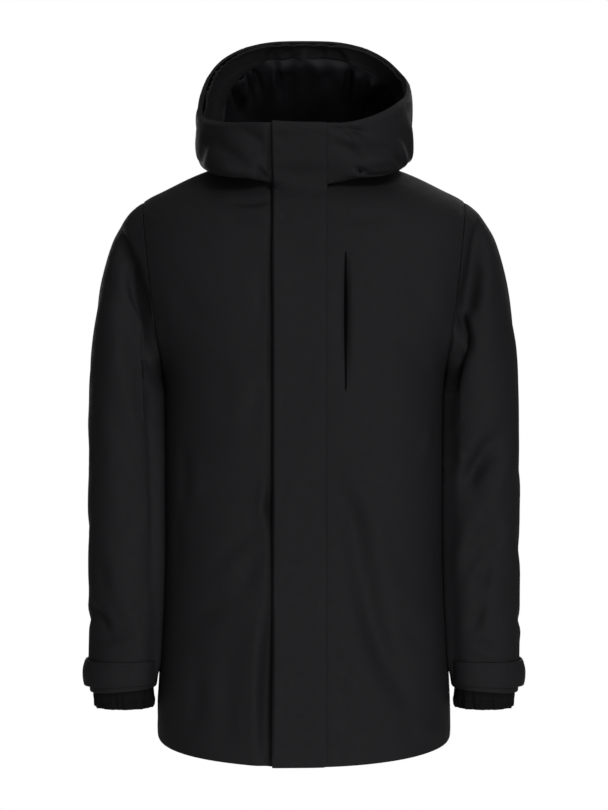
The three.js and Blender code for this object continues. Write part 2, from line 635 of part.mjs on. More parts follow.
function addStormFlap() {
  const freeEdge = flapColumns[0];
  const grid = (out) => frontRows.map((row) => flapColumns.map((x) => {
    const height = row.surface(0, row.level).z;
    const share = Math.max((flapStitch - x) / (flapStitch - freeEdge), 0);
    return frontPoint(row, x, layGap + atHeight(flapLifts, "lift", height) * share ** 3 + out);
  }));
  addPiece("storm_flap", wall(grid(flapWall), grid(0)), cloth);
}

function addFrontZip() {
  const rows = frontRows.filter(({ surface, level }) =>
    surface === bodySurface ? level > zipBottom : level <= rimRow - zipTop);
  const half = frontEdge - seamGap;
  const grid = (out) => rows.map((row) => [-half, half].map((x) => frontPoint(row, x, out)));
  addPiece("front_zip", wall(grid(-zipDepth), grid(-zipDepth - zipWall)), tape);
}

const bodyLevelAt = (height, x) =>
  solve((level) => bodySurface(turnAtX(bodySurface, level, x), level).z, 0, necklineRow, height);

function pocketGrid(columns, low, high, out) {
  return range(pocketSteps).map((i) => {
    const level = bodyLevelAt(mix(low, high, i / pocketSteps), pocket.x);
    return columns.map((x) => frontPoint({ surface: bodySurface, level }, x, out));
  });
}

// The welt folds over the pocket's zip from the outer side.
function addChestPocket() {
  const { x, low, high, welt, slit, zipInset } = pocket;
  const weltColumns = [x + slit / 2 + seamGap, x + slit / 2 + welt];
  const over = (out) => pocketGrid(weltColumns, low, high, layGap + out);
  addPiece("chest_pocket_welt", wall(over(weltWall), over(0)), cloth);
  const zipColumns = [x - slit / 2, x + slit / 2];
  const under = (out) => pocketGrid(zipColumns, low + zipInset, high - zipInset, layGap + out);
  addPiece("chest_pocket_zip", wall(under(pocket.zipWall), under(0)), tape);
}

addFront("front_left", 1);
addFront("front_right", -1);
addBack();
addSleeve("sleeve_left", 1);
addSleeve("sleeve_right", -1);
addCuffTab("cuff_tab_left", 1);
addCuffTab("cuff_tab_right", -1);
addStormCuff("storm_cuff_left", 1);
addStormCuff("storm_cuff_right", -1);
addHoodSide("hood_side_left", 1);
addHoodSide("hood_side_right", -1);
addHoodCentre();
addHoodFacing();
addHoodLining();
addStormFlap();
addFrontZip();
addChestPocket();

export default coat;
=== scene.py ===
import math

import bmesh
import bpy
import numpy as np
from mathutils import Matrix, Vector
from mathutils.bvhtree import BVHTree
from mathutils.kdtree import KDTree


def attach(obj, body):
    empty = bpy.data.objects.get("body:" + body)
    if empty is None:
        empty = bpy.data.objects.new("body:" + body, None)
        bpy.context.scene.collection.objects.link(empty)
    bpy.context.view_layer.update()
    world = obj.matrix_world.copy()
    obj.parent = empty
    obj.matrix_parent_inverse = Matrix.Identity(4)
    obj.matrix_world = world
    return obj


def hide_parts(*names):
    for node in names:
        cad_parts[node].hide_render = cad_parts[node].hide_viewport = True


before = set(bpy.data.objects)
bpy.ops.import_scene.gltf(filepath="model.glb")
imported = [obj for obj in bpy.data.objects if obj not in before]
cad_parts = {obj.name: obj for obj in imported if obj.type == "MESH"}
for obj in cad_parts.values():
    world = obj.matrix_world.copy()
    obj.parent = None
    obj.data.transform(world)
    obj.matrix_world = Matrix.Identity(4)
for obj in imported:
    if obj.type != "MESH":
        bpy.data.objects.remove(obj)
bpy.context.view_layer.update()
scene = bpy.context.scene
hemDrop = 830  # mm from the origin down to the front hem
print("frame loaded:", len(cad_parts), "nodes")


def colourOf(hexValue):
    parts = [int(hexValue[i:i + 2], 16) / 255 for i in (1, 3, 5)]
    return [c / 12.92 if c <= 0.04045 else ((c + 0.055) / 1.055) ** 2.4 for c in parts] + [1]


def addNode(tree, kind, links=None, **settings):
    node = tree.nodes.new(kind)
    for key, value in settings.items():
        setattr(node, key, value)
    for key, value in (links or {}).items():
        if isinstance(value, bpy.types.NodeSocket):
            tree.links.new(value, node.inputs[key])
        else:
            node.inputs[key].default_value = value
    return node


def placed(name, data):   # a new object at the origin
    obj = bpy.data.objects.new(name, data)
    scene.collection.objects.link(obj)
    return obj


def pointTree(points):
    tree = KDTree(len(points))
    for i, point in enumerate(points):
        tree.insert(point, i)
    tree.balance()
    return tree


def bell(away, width):   # 1 in the middle, and soft on both sides of it
    return np.exp(-((away / width) ** 2))


# how deep the bumps are in metres, and by how much the roughness varies up and down
relief = {"crinkle": 0.001, "grain": 0.0002, "clothSpread": 0.05, "hardSpread": 0.08}


def clothMaterial(name, look):
    material = bpy.data.materials.new(name)
    material.use_nodes = True
    tree = material.node_tree
    tree.nodes.clear()
    place = addNode(tree, "ShaderNodeTexCoord").outputs["Object"]
    cut = addNode(tree, "ShaderNodeUVMap", uv_map="cut").outputs["UV"]
    turns = 2 * math.pi / (look["threadMm"] / 1000)
    threads = addNode(tree, "ShaderNodeVectorMath", {0: cut, 1: (turns, turns, 0)}, operation="MULTIPLY")
    axes = addNode(tree, "ShaderNodeSeparateXYZ", {0: threads.outputs[0]})
    warp = addNode(tree, "ShaderNodeMath", {0: axes.outputs["X"]}, operation="SINE").outputs[0]
    weft = addNode(tree, "ShaderNodeMath", {0: axes.outputs["Y"]}, operation="SINE").outputs[0]
    weave = addNode(tree, "ShaderNodeMath", {0: warp, 1: weft}, operation="MULTIPLY").outputs[0]
    slub = addNode(tree, "ShaderNodeTexNoise", {
        "Vector": place, "Scale": 1000 / look["slubMm"], "Detail": 4.0, "Roughness": 0.6,
    }).outputs["Fac"]
    patch = addNode(tree, "ShaderNodeTexNoise",
                    {"Vector": place, "Scale": 1000 / look["patchMm"], "Detail": 2.0}).outputs["Fac"]
    shade = addNode(tree, "ShaderNodeMapRange",
                    {0: weave, 1: -1.0, 2: 1.0, 3: -look["threadShade"], 4: look["threadShade"]}).outputs[0]
    mixed = addNode(tree, "ShaderNodeMath", {0: shade, 1: patch}, operation="ADD", use_clamp=True).outputs[0]
    colour = addNode(tree, "ShaderNodeMix",
                     {0: mixed, 6: colourOf(look["dark"]), 7: colourOf(look["light"])}, data_type="RGBA")
    low, high = look["rough"] - relief["clothSpread"], look["rough"] + relief["clothSpread"]
    rough = addNode(tree, "ShaderNodeMapRange", {0: slub, 1: 0.3, 2: 0.7, 3: low, 4: high}).outputs[0]
    crinkle = addNode(tree, "ShaderNodeBump",
                      {"Strength": look["crinkle"], "Distance": relief["crinkle"], "Height": slub}).outputs[0]
    bump = addNode(tree, "ShaderNodeBump", {
        "Strength": look["bump"], "Distance": relief["grain"], "Height": weave, "Normal": crinkle,
    }).outputs[0]
    shader = addNode(tree, "ShaderNodeBsdfPrincipled", {
        "Base Color": colour.outputs[2], "Roughness": rough, "Normal": bump,
        "Specular IOR Level": look["gloss"], "Sheen Weight": look["sheen"], "Sheen Roughness": 0.4,
        "Sheen Tint": colourOf(look["light"]), "IOR": 1.5,
    })
    addNode(tree, "ShaderNodeOutputMaterial", {"Surface": shader.outputs[0]})
    return material


def hardMaterial(name, look):
    material = bpy.data.materials.new(name)
    material.use_nodes = True
    tree = material.node_tree
    tree.nodes.clear()
    place = addNode(tree, "ShaderNodeTexCoord").outputs["Object"]
    grain = addNode(tree, "ShaderNodeTexNoise",
                    {"Vector": place, "Scale": 1000 / look["grainMm"], "Detail": 3.0}).outputs["Fac"]
    colour = addNode(tree, "ShaderNodeMix",
                     {0: grain, 6: colourOf(look["dark"]), 7: colourOf(look["light"])}, data_type="RGBA")
    low, high = look["rough"] - relief["hardSpread"], look["rough"] + relief["hardSpread"]
    rough = addNode(tree, "ShaderNodeMapRange", {0: grain, 1: 0.3, 2: 0.7, 3: low, 4: high}).outputs[0]
    bump = addNode(tree, "ShaderNodeBump",
                   {"Strength": look["bump"], "Distance": relief["grain"], "Height": grain}).outputs[0]
    shader = addNode(tree, "ShaderNodeBsdfPrincipled", {
        "Base Color": colour.outputs[2], "Roughness": rough, "Normal": bump, "Metallic": look["metal"],
        "Specular IOR Level": look["gloss"],
    })
    addNode(tree, "ShaderNodeOutputMaterial", {"Surface": shader.outputs[0]})
    return material


# plain-woven polyester with a matt coating: close and nearly black, soft grey where it faces the light.
# Its 0.35 mm threads are drawn 1 mm apart, because they would not show
shellCloth = clothMaterial("plain woven polyester", {
    "dark": "#101012", "light": "#151517", "threadMm": 1.0, "slubMm": 9, "patchMm": 140, "threadShade": 0.18,
    "rough": 0.72, "gloss": 0.12, "sheen": 0.0, "bump": 0.3, "crinkle": 0.18,
})
# polyester taffeta: smoother than the shell, so that light runs along its gathers in narrow soft streaks
liningCloth = clothMaterial("polyester taffeta", {
    "dark": "#19191B", "light": "#202023", "threadMm": 0.8, "slubMm": 14, "patchMm": 90, "threadShade": 0.1,
    "rough": 0.52, "gloss": 0.09, "sheen": 0.0, "bump": 0.15, "crinkle": 0.5,
})
# knitted elastic of the inner cuffs: ribbed and matt; its colour is darker than the shell as painted shade,
# for the cuffs lie under the sleeves' ends
cuffClothPaintedShade = clothMaterial("ribbed elastic painted shade dark", {
    "dark": "#0A0A0B", "light": "#0F0F10", "threadMm": 1.6, "slubMm": 6, "patchMm": 60, "threadShade": 0.3,
    "rough": 0.85, "gloss": 0.06, "sheen": 0.0, "bump": 0.5, "crinkle": 0.2,
})
# herringbone zip tape: dense and dull; its near-black colour is painted shade, so that the pocket's slit
# reads as one dark line
zipTapePaintedShade = clothMaterial("zip tape painted shade black", {
    "dark": "#030304", "light": "#060607", "threadMm": 0.9, "slubMm": 5, "patchMm": 60, "threadShade": 0.3,
    "rough": 0.85, "gloss": 0.01, "sheen": 0.0, "bump": 0.6, "crinkle": 0.1,
})
# spun polyester thread: twisted, dull, a shade lighter than the cloth so that the rows read
thread = hardMaterial("spun polyester thread", {
    "dark": "#121214", "light": "#1B1B1D", "grainMm": 0.8, "rough": 0.8, "gloss": 0.15,
    "bump": 0.5, "metal": 0,
})
# acetal, moulded: the teeth, black and even, with hardly a highlight in the shade where they lie
toothPlastic = hardMaterial("moulded acetal", {
    "dark": "#050506", "light": "#0A0A0B", "grainMm": 2, "rough": 0.5, "gloss": 0.03,
    "bump": 0.1, "metal": 0,
})
# brass with baked black enamel: the eyelet, smooth and even, and darker than the cloth around it; the same
# black also fills its middle as a flat disc, which is painted shade for the hole
enamelAndPaintedHoleShade = hardMaterial("enamelled brass and painted hole shade", {
    "dark": "#050506", "light": "#0A0A0B", "grainMm": 3, "rough": 0.5, "gloss": 0.03,
    "bump": 0.05, "metal": 0,
})
print("materials made")


# Creases, listed one by one:
# x (or y on a side face) and height above the front hem of both ends, half width, depth in, bow to one side.
# All in mm; a negative depth is a ridge.

bodyCreases = [
    # front, on the left of the coat
    ("front", 44, 380, 78, 250, 16, 3.6, 6), ("front", 74, 268, 136, 90, 15, 4.6, -8),
    ("front", 92, 300, 128, 200, 16, -1.3, 4), ("front", 178, 285, 180, 244, 7, -1.6, 2),
    ("front", 172, 452, 160, 408, 9, -1.4, 3), ("front", 150, 60, 186, 30, 11, -1.6, -3),
    ("front", 50, 738, 112, 742, 11, 2.2, -6), ("front", 60, 716, 130, 728, 15, 1.3, -8),
    ("front", 126, 650, 172, 600, 18, 1.6, 8), ("front", 120, 560, 178, 520, 16, 1.2, 6),
    ("front", 70, 470, 150, 440, 20, 1.0, 8), ("front", 128, 210, 170, 150, 13, 1.4, -5),
    ("front", 34, 128, 60, 52, 14, 1.5, 4), ("front", 60, 90, 120, 40, 16, 1.2, 6),
    # front, on its right
    ("front", -48, 372, -150, 361, 12, 1.6, -5), ("front", -48, 345, -118, 276, 12, 2.0, 6),
    ("front", -50, 330, -92, 226, 14, 2.2, 5), ("front", -46, 200, -50, 0, 8, 6.5, -3),
    ("front", -45, 372, -47, 322, 5, 4.5, -2), ("front", -45, 790, -45, 20, 3.0, 5.0, 0.5),
    ("front", -74, 176, -82, 16, 12, -1.6, -3), ("front", -146, 128, -150, 52, 12, 1.8, 3),
    ("front", -165, 420, -163, 352, 9, 1.6, 2), ("front", -174, 336, -172, 262, 9, 1.4, -3),
    ("front", -98, 757, -46, 757, 5, 2.6, -3), ("front", -112, 741, -60, 734, 10, 1.5, -4),
    ("front", -172, 640, -128, 596, 16, 1.4, -8), ("front", -160, 548, -92, 520, 18, 1.1, -8),
    ("front", -58, 660, -62, 590, 10, 1.2, 3), ("front", -52, 520, -70, 440, 12, 1.2, -4),
    ("front", -110, 230, -160, 180, 14, 1.3, 5),
    # back
    ("back", -60, 742, 60, 742, 12, 2.2, -8), ("back", -120, 700, -40, 724, 16, 1.4, 6),
    ("back", 120, 696, 44, 722, 15, 1.5, -6), ("back", -182, 600, -120, 520, 17, 2.2, -9),
    ("back", 184, 610, 128, 528, 16, 2.4, 9), ("back", -150, 430, -86, 300, 16, 2.0, 8),
    ("back", 140, 392, 92, 236, 15, 2.2, -8), ("back", -40, 300, -12, 150, 18, 1.6, 6),
    ("back", 26, 210, 52, 60, 16, 1.8, -5), ("back", -128, 200, -112, 48, 14, 2.0, 4),
    ("back", 150, 170, 138, 40, 13, 1.8, -4), ("back", -20, 560, 70, 520, 22, 1.2, 10),
    ("back", -90, 620, -10, 640, 20, 1.0, 6),
    # sides, by how far back they lie
    ("left", -60, 400, 20, 330, 14, 1.8, 6), ("left", 30, 250, 10, 90, 13, 2.0, 4),
    ("left", -40, 210, -60, 90, 12, 1.6, -4), ("left", 60, 420, 30, 300, 14, 1.6, -5),
    ("right", -50, 380, 26, 318, 13, 1.8, -6), ("right", 20, 236, 6, 80, 13, 2.0, -4),
    ("right", -44, 190, -66, 70, 12, 1.6, 4), ("right", 64, 400, 36, 280, 14, 1.6, 5),
]
sleeveCreases = [
    # right sleeve
    ("front", -282, 690, -258, 596, 18, 1.6, 6), ("front", -248, 560, -222, 470, 14, 2.2, 5),
    ("front", -262, 498, -226, 410, 14, 1.8, -6), ("front", -252, 402, -228, 306, 13, 2.0, 5),
    ("front", -289, 276, -272, 228, 10, 2.6, 3), ("front", -292, 206, -264, 170, 6, 5.0, 3),
    ("front", -278, 190, -262, 168, 6, -1.4, 2), ("front", -276, 148, -226, 157, 5, -2.0, 3),
    ("front", -280, 159, -224, 168, 7, 1.8, 3), ("front", -236, 262, -214, 190, 11, 1.6, -4),
    ("back", -270, 660, -224, 572, 14, 3.0, 6), ("back", -286, 520, -232, 452, 13, 2.6, -6),
    ("back", -280, 436, -226, 398, 10, 3.2, 5), ("back", -284, 380, -236, 366, 9, 2.6, -4),
    ("back", -276, 300, -230, 240, 13, 1.8, 5), ("back", -280, 190, -236, 166, 8, 2.2, 4),
    ("right", -30, 640, 10, 540, 16, 1.8, 6), ("right", 14, 470, -20, 392, 15, 2.0, -6),
    ("right", -40, 330, 4, 260, 13, 1.8, 5), ("right", -52, 196, -8, 172, 8, 2.4, 3),
    # left sleeve
    ("front", 198, 622, 222, 560, 7, 7.5, 3),
    ("front", 226, 580, 190, 484, 9, 10.0, -4), ("front", 206, 584, 203, 544, 8, -2.5, 2),
    ("front", 252, 640, 246, 540, 17, -1.8, 5),
    ("front", 274, 450, 220, 350, 14, 5.0, -6), ("front", 244, 424, 212, 370, 9, 3.4, 4),
    ("front", 286, 420, 250, 352, 14, -2.2, 5), ("front", 264, 324, 216, 248, 12, 3.8, -5),
    ("front", 286, 316, 262, 262, 11, -2.2, -3), ("front", 252, 262, 234, 234, 8, 3.4, 2),
    ("front", 242, 212, 226, 176, 8, 3.2, 2), ("front", 232, 160, 262, 152, 4.5, 3.4, -2),
    ("front", 236, 150, 268, 144, 6, -1.4, -2), ("front", 288, 236, 270, 196, 11, 1.4, 3),
    ("back", 272, 664, 226, 580, 14, 3.0, -6), ("back", 288, 512, 234, 446, 13, 2.6, 6),
    ("back", 286, 408, 228, 372, 10, 3.2, -5), ("back", 284, 356, 236, 346, 9, 2.4, 4),
    ("back", 278, 290, 232, 232, 13, 1.8, -5), ("back", 282, 188, 238, 168, 8, 2.2, -4),
    ("left", -34, 650, 8, 552, 16, 1.8, -6), ("left", 10, 460, -24, 384, 15, 2.2, 6),
    ("left", -44, 322, 0, 250, 13, 1.8, -5), ("left", -50, 200, -10, 176, 8, 2.4, -3),
]
hoodCreases = [
    # collar, from the front
    ("front", -100, 856, -52, 824, 9, 2.0, 4), ("front", -128, 846, -84, 812, 9, 1.6, -4),
    ("front", -78, 812, -48, 790, 7, -2.2, 3), ("front", -64, 806, -44, 782, 5, 2.4, -2),
    ("front", -120, 806, -86, 792, 8, -1.8, 3), ("front", 34, 852, 62, 838, 4, 2.6, 3),
    ("front", 44, 860, 78, 846, 4, 2.2, -3), ("front", 60, 836, 96, 826, 7, -1.8, 3),
    ("front", 70, 850, 118, 820, 8, 1.8, -5), ("front", 38, 830, 74, 812, 8, 1.6, 4),
    ("front", -45, 850, -45, 786, 3, 2.6, 0.5), ("front", 72, 799, 84, 795, 4, 3.0, -1),
    ("front", -96, 800, -60, 786, 8, -2.0, 3), ("front", 78, 788, 132, 796, 5, 3.0, -3),
    ("front", 84, 806, 128, 812, 7, -1.8, 3),
    ("front", 38, 764, 48, 773, 4, 2.6, 3), ("front", 128, 822, 139, 798, 5, 3.4, 2),
    ("front", -30, 800, 20, 792, 12, 1.2, -5),
    # sides and back
    ("left", -90, 850, -20, 812, 12, 2.6, 6), ("left", -40, 880, 40, 838, 14, 2.4, -6),
    ("left", 20, 900, 110, 850, 14, 2.6, 8), ("left", 60, 930, 150, 880, 15, 2.2, 8),
    ("left", 40, 820, 120, 812, 8, 3.2, 3), ("left", -100, 822, -50, 806, 9, 0.8, 2),
    ("right", -90, 848, -16, 808, 12, 2.6, -6), ("right", -44, 884, 36, 842, 14, 2.4, 6),
    ("right", 24, 896, 112, 846, 14, 2.8, -8), ("right", 62, 934, 148, 876, 15, 2.2, -8),
    ("right", 44, 816, 124, 810, 8, 3.2, -3), ("right", -96, 818, -52, 802, 9, 0.8, -2),
    ("back", -96, 900, -30, 850, 14, 2.8, 6), ("back", 92, 896, 34, 846, 14, 2.6, -6),
    ("back", -60, 940, -20, 876, 13, 2.0, -5), ("back", 70, 946, 30, 880, 13, 2.2, 5),
    ("back", -110, 832, 0, 818, 9, 3.0, -5), ("back", 8, 822, 112, 834, 9, 3.0, -5),
]
# the fallen hood's lining: folds that run in from its seam, as they hang
liningCreases = [
    ("front", -84, 998, -77, 950, 4, 9.0, -4), ("front", -77, 992, -70, 942, 3.5, -5.0, -4),
    ("front", -70, 996, -63, 944, 4, 8.0, -5), ("front", -60, 996, -36, 946, 4.5, 9.0, 6),
    ("front", -52, 990, -44, 940, 4, -4.0, 4), ("front", -101, 962, -88, 922, 4, 7.0, -6),
    ("front", -92, 980, -92, 930, 7, -6.0, 4), ("front", -112, 958, -104, 930, 4, -4.0, 3),
    ("front", -118, 946, -92, 912, 5, 7.0, 5), ("front", -30, 985, -24, 930, 12, 4.0, 3),
    ("front", 61, 994, 60, 930, 5, 11.0, 5), ("front", 30, 988, 52, 962, 9, -7.0, 4),
    ("front", 44, 968, 20, 940, 8, 4.0, -4), ("front", 79, 994, 104, 964, 4, 8.0, -4),
    ("front", 72, 990, 82, 958, 5, -6.0, 4), ("front", 98, 984, 114, 956, 4.5, 8.0, 4),
    ("front", 92, 976, 100, 940, 6, -5.0, 4), ("front", 10, 986, -6, 940, 14, 3.0, 5),
    ("front", 116, 944, 98, 910, 8, 6.0, -5),
    ("back", -60, 850, -50, 800, 5, 5.0, 4), ("back", 48, 846, 40, 796, 5, 5.0, -4),
    ("left", -40, 880, -30, 840, 6, 5.0, 4), ("left", 30, 900, 24, 850, 6, 5.0, -4),
    ("right", -36, 884, -26, 838, 6, 5.0, -4), ("right", 34, 902, 28, 856, 6, 5.0, 4),
]
towards = {"front": (0, -1, 0), "back": (0, 1, 0), "left": (1, 0, 0), "right": (-1, 0, 0)}


# how a crease lies: on cloth that faces its side, shallower at its ends, running out a little past them,
# and with a soft roll on the outer side of its bow. Its sizes are in widths of the crease.
fold = {"turn": 2.2, "from": 0.1, "ends": 0.3, "runOut": 1.5, "roll": 0.35, "rollAt": 1.9, "rollWidth": 1.1}


def creaseDepth(points, normals, table):
    total = np.zeros(len(points))
    for face, a1, h1, a2, h2, width, depth, bow in table:
        facing = np.clip(normals @ np.array(towards[face]) * fold["turn"] - fold["from"], 0, 1)
        flat = points[:, [0, 2]] if face in ("front", "back") else points[:, [1, 2]]
        chord = np.array([a2 - a1, h2 - h1], float)
        length = np.linalg.norm(chord)
        along = (flat - (a1, h1)) @ chord / length ** 2
        inside = np.clip(along, 0, 1)
        aside = (flat - (a1, h1)) @ np.array([-chord[1], chord[0]]) / length
        aside = aside - bow * 4 * inside * (1 - inside)
        shallow = fold["ends"] + (1 - fold["ends"]) * np.sin(np.pi * inside)
        taper = shallow * bell((along - inside) * length, fold["runOut"] * width)
        roll = bell(aside - fold["rollAt"] * width * np.sign(bow), fold["rollWidth"] * width)
        total += facing * depth * taper * (bell(aside, width) - fold["roll"] * roll)
    return total


# faint uneven folds, as soft cloth always has: how many on each face, and their sizes in mm
faint = {
    "bodySeed": 3, "sleeveSeed": 8, "hoodSeed": 5, "body": 26, "sleeve": 20, "hood": 12,
    "lean": 0.9, "length": (25, 90), "width": (6, 15), "depth": 0.75, "bow": (-9, 9),
}


def smallFolds(seed, count, spans):
    rng = np.random.RandomState(seed)
    rows = []
    for face, low, high, bottom, top in spans:
        for _ in range(count):
            a, h = rng.uniform(low, high), rng.uniform(bottom, top)
            lean, length = rng.normal(0, faint["lean"]), rng.uniform(*faint["length"])
            rows.append((face, a, h, a + length * math.sin(lean), h - length * math.cos(lean),
                         rng.uniform(*faint["width"]), faint["depth"] * rng.uniform(-1, 1),
                         rng.uniform(*faint["bow"])))
    return rows


bodyFaint = smallFolds(faint["bodySeed"], faint["body"], [
    ("front", -190, 190, 40, 740), ("back", -190, 190, 40, 740),
    ("left", -90, 90, 60, 480), ("right", -90, 90, 60, 480),
])
sleeveFaint = smallFolds(faint["sleeveSeed"], faint["sleeve"], [
    ("front", 205, 290, 150, 700), ("front", -290, -205, 150, 700),
    ("back", 205, 290, 150, 700), ("back", -290, -205, 150, 700),
    ("left", -50, 40, 150, 680), ("right", -50, 40, 150, 680),
])
hoodFaint = smallFolds(faint["hoodSeed"], faint["hood"], [
    ("front", -130, 130, 790, 860), ("back", -140, 140, 820, 980),
    ("left", -100, 150, 800, 960), ("right", -100, 150, 800, 960),
])


def coordsOf(mesh):
    places = np.empty(len(mesh.vertices) * 3)
    mesh.vertices.foreach_get("co", places)
    return places.reshape(-1, 3)


# a piece's wall: the angles in degrees up to which triangles join, past which an edge stays sharp, and past
# which its outer face ends; how far and how often its corners are drawn out; how often its ends are rounded
wall = {"join": 60, "sharp": 38, "end": 33, "draw": 0.9, "draws": 2, "rounds": 3}


def denseCopy(node, cuts):   # merged, in quads, and made finer with its corners kept
    work = bmesh.new()
    work.from_mesh(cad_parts[node].data)
    bmesh.ops.remove_doubles(work, verts=work.verts, dist=1e-5)
    bmesh.ops.join_triangles(work, faces=work.faces, angle_face_threshold=math.radians(wall["join"]),
                             angle_shape_threshold=math.radians(180))
    crease = work.edges.layers.float.new("crease_edge")
    for edge in work.edges:
        if edge.calc_face_angle(0) > math.radians(wall["sharp"]):
            edge[crease] = 1
    mesh = bpy.data.meshes.new(node + "_cloth")
    work.to_mesh(mesh)
    work.free()
    obj = placed(node + "_cloth", mesh)
    finer = obj.modifiers.new("finer", "SUBSURF")
    finer.levels = finer.render_levels = cuts
    wanted = coordsOf(mesh)
    # a subdivided mesh shrinks, so its corners are drawn out until it passes through them
    for _ in range(wall["draws"]):
        made = coordsOf(obj.evaluated_get(bpy.context.evaluated_depsgraph_get()).data)[:len(wanted)]
        mesh.vertices.foreach_set("co", (coordsOf(mesh) + wall["draw"] * (wanted - made)).ravel())
        mesh.update()
    done = bpy.data.meshes.new_from_object(obj.evaluated_get(bpy.context.evaluated_depsgraph_get()))
    obj.modifiers.clear()
    obj.data = done
    return obj


def sidesOf(work):   # the faces on each side of the wall's corners
    unseen = set(work.faces)
    sides = []
    for first in work.faces:
        if first not in unseen:
            continue
        unseen.remove(first)
        stack = [first]
        side = []
        while stack:
            face = stack.pop()
            side.append(face)
            for edge in face.edges:
                if edge.calc_face_angle(0) < math.radians(wall["end"]):
                    for other in edge.link_faces:
                        if other in unseen:
                            unseen.remove(other)
                            stack.append(other)
        sides.append(side)
    return sorted(sides, key=len, reverse=True)


# the middles of a sleeve, of its end and of the hood in mm, and how much height counts in the hood's way out
middle = {
    "armX": 247, "armY": -15, "cuffX": 248.5, "cuffY": -24, "hoodY": 20, "hoodHeight": 870, "upShare": 0.6,
}


def awayFrom(kind, point):   # the way out of the coat from its middle, at a point in mm
    if kind == "sleeve":
        return Vector((point.x - math.copysign(middle["armX"], point.x), point.y - middle["armY"], 0))
    if kind in ("hood", "lining"):
        up = (point.z - middle["hoodHeight"]) * middle["upShare"]
        out = Vector((point.x, point.y - middle["hoodY"], up))
        return out if kind == "hood" else -out   # the lining shows its side towards the hollow
    return Vector((point.x, point.y, 0))


def inMm(co):
    points = np.array(co) * 1000
    points[:, 2] += hemDrop
    return points


def outward(side, kind):   # how much a side of the wall faces out of the coat
    points = inMm([face.calc_center_median() for face in side])
    ways = [awayFrom(kind, Vector(point)).normalized() for point in points]
    return sum(face.normal.dot(way) for face, way in zip(side, ways)) / len(side)


def runAlong(ends):   # the distance along the outer face's outline at each of its vertices
    follows = {}
    for edge in ends:
        a, b = edge.verts
        follows.setdefault(a, []).append(b)
        follows.setdefault(b, []).append(a)
    run = {}
    for start in follows:
        if start in run:
            continue
        run[start] = 0.0
        here, covered = start, 0.0
        while True:
            ahead = [v for v in follows[here] if v not in run]
            if not ahead:
                break
            covered += (ahead[0].co - here.co).length * 1000
            here = ahead[0]
            run[here] = covered
    return run


def toSeam(verts, outer):   # how far each vertex lies from the outer face's outline, and how far along it
    faces = set(outer)
    ends = [edge for face in outer for edge in face.edges if not faces.issuperset(edge.link_faces)]
    run = runAlong(ends)
    order = list(run)
    tree = pointTree([v.co for v in order])
    nearest = [tree.find(v.co) for v in verts]
    gap = np.array([hit[2] for hit in nearest]) * 1000
    return gap, np.array([run[order[hit[1]]] for hit in nearest])


def normalsOf(verts, outer):   # each vertex's way out, from the outer faces alone
    faces = set(outer)
    normals = np.zeros((len(verts), 3))
    for i, v in enumerate(verts):
        total = Vector((0, 0, 0))
        for face in v.link_faces:
            if face in faces:
                total += face.normal
        normals[i] = total.normalized()
    return normals


# beside a seam the cloth is drawn in, and puckers in uneven waves: sizes in mm
sewn = {"width": 7, "puckerAt": 6, "starts": 4, "wave": 3.1, "drift": 23, "swell": 41}


def puckers(gap, run):
    wave = np.sin(run / sewn["wave"] + 1.7 * np.sin(run / sewn["drift"]))
    swell = 0.6 + 0.4 * np.sin(run / sewn["swell"] + 1)
    return wave * swell * bell(gap - sewn["puckerAt"], sewn["width"]) * np.clip(gap / sewn["starts"], 0, 1)


def roundEnds(work):   # the ends of the wall, as cloth turned under
    sharp = math.radians(wall["end"])
    corners = {v for edge in work.edges if edge.calc_face_angle(0) > sharp for v in edge.verts}
    for _ in range(wall["rounds"]):
        places = {}
        for v in corners:
            ring = [e.other_vert(v).co for e in v.link_edges]
            places[v] = v.co.lerp(sum(ring, Vector((0, 0, 0))) / len(ring), 0.5)
        for v, place in places.items():
            v.co = place


# a solid's finer copy in cloth: slide moves it whole, then its outer face goes in by its creases, its seams
# and extra, and the inner face follows
def clothFrom(node, kind, cuts, tables, material, extra=None, slide=None, fade=None, pucker=0.2, seam=0.35):
    obj = denseCopy(node, cuts)
    work = bmesh.new()
    work.from_mesh(obj.data)
    if slide is not None:
        shifts = slide(inMm([v.co for v in work.verts])) / 1000
        for v, shift in zip(work.verts, shifts):
            v.co += Vector(shift)
    work.normal_update()
    sides = sidesOf(work)
    large = [side for side in sides if len(side) > len(sides[0]) / 2]
    outer = max(large, key=lambda side: outward(side, kind))
    verts = list(dict.fromkeys(v for face in outer for v in face.verts))
    co = inMm([v.co for v in verts])
    normals = normalsOf(verts, outer)
    gap, run = toSeam(verts, outer)
    held = np.ones(len(co)) if fade is None else fade(co)
    inward = np.zeros(len(co))
    for table in tables:
        inward += creaseDepth(co, normals, table) * held
    inward += seam * bell(gap, sewn["width"]) + pucker * puckers(gap, run)
    if extra is not None:
        inward += extra(co, normals)
    moves = -normals * inward[:, None] / 1000
    nearest = pointTree([v.co for v in verts])
    shown = set(verts)
    others = [v for v in work.verts if v not in shown]
    follow = [nearest.find(v.co)[1] for v in others]
    roundEnds(work)
    for v, move in zip(verts, moves):
        v.co += Vector(move)
    for v, i in zip(others, follow):
        v.co += Vector(moves[i])
    work.normal_update()
    work.to_mesh(obj.data)
    work.free()
    layOutCut(obj, kind)
    finish(obj, material, node)
    return obj


cutRadius = {"sleeve": 0.052, "body": 0.15}   # the rounds on which the cloth is laid flat, in metres


